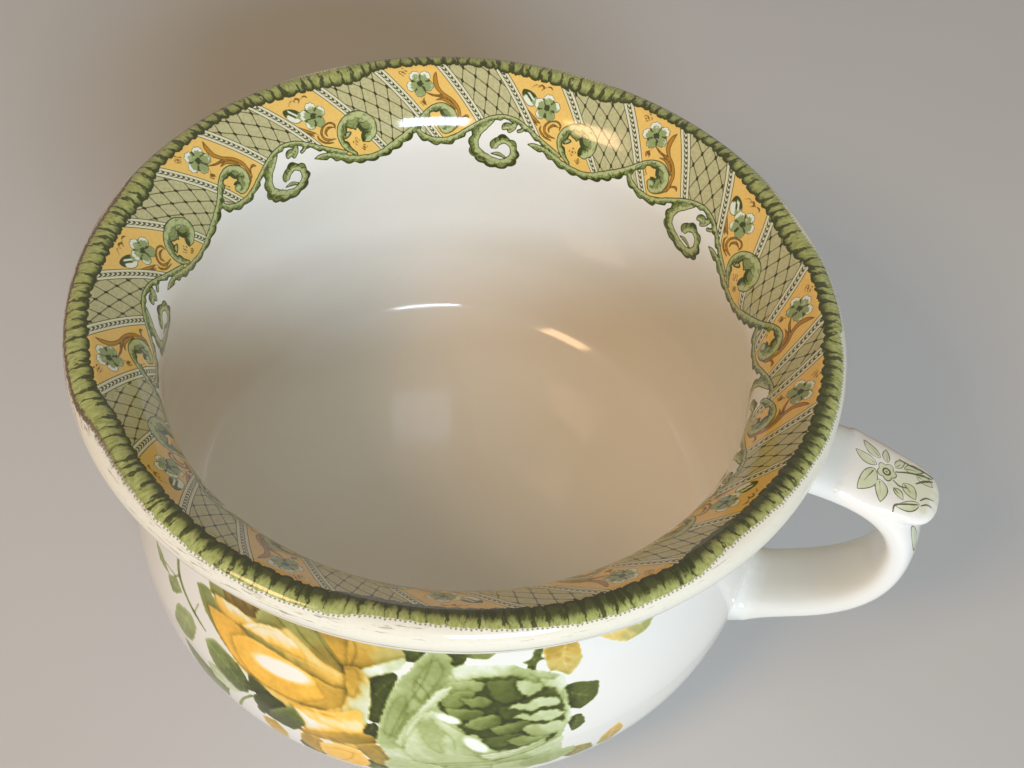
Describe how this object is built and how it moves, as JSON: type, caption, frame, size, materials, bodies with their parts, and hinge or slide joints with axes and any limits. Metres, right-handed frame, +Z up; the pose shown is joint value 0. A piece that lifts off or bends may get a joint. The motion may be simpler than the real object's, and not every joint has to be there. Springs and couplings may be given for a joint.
{
  "type": "chamber pot",
  "caption": "Round-bellied glazed pottery chamber pot with a flared collar, rolled lip, turned foot ring and a strap handle with a thumb rest on one side.",
  "frame": {"origin": "on the pot's axis, at the plane of the foot ring's flat underside", "axes": "+Z up along the axis of the bowl, +X from the axis towards the handle, +Y across"},
  "size_m": [0.2675, 0.232, 0.138],
  "materials": {
    "white_glaze": "glossy white glaze over printed colour",
    "green_border": "glossy glaze over an olive printed band",
    "bare_clay": "matte fired clay, rubbed grey where it stands"
  },
  "bodies": {
    "root": {"foot_ring": "bare_clay", "bowl": "white_glaze", "collar": "white_glaze", "lip_roll": "green_border", "handle_strap": "white_glaze", "thumb_rest": "white_glaze", "upper_joint": "white_glaze", "lower_joint": "white_glaze"}
  },
  "joints": []
}
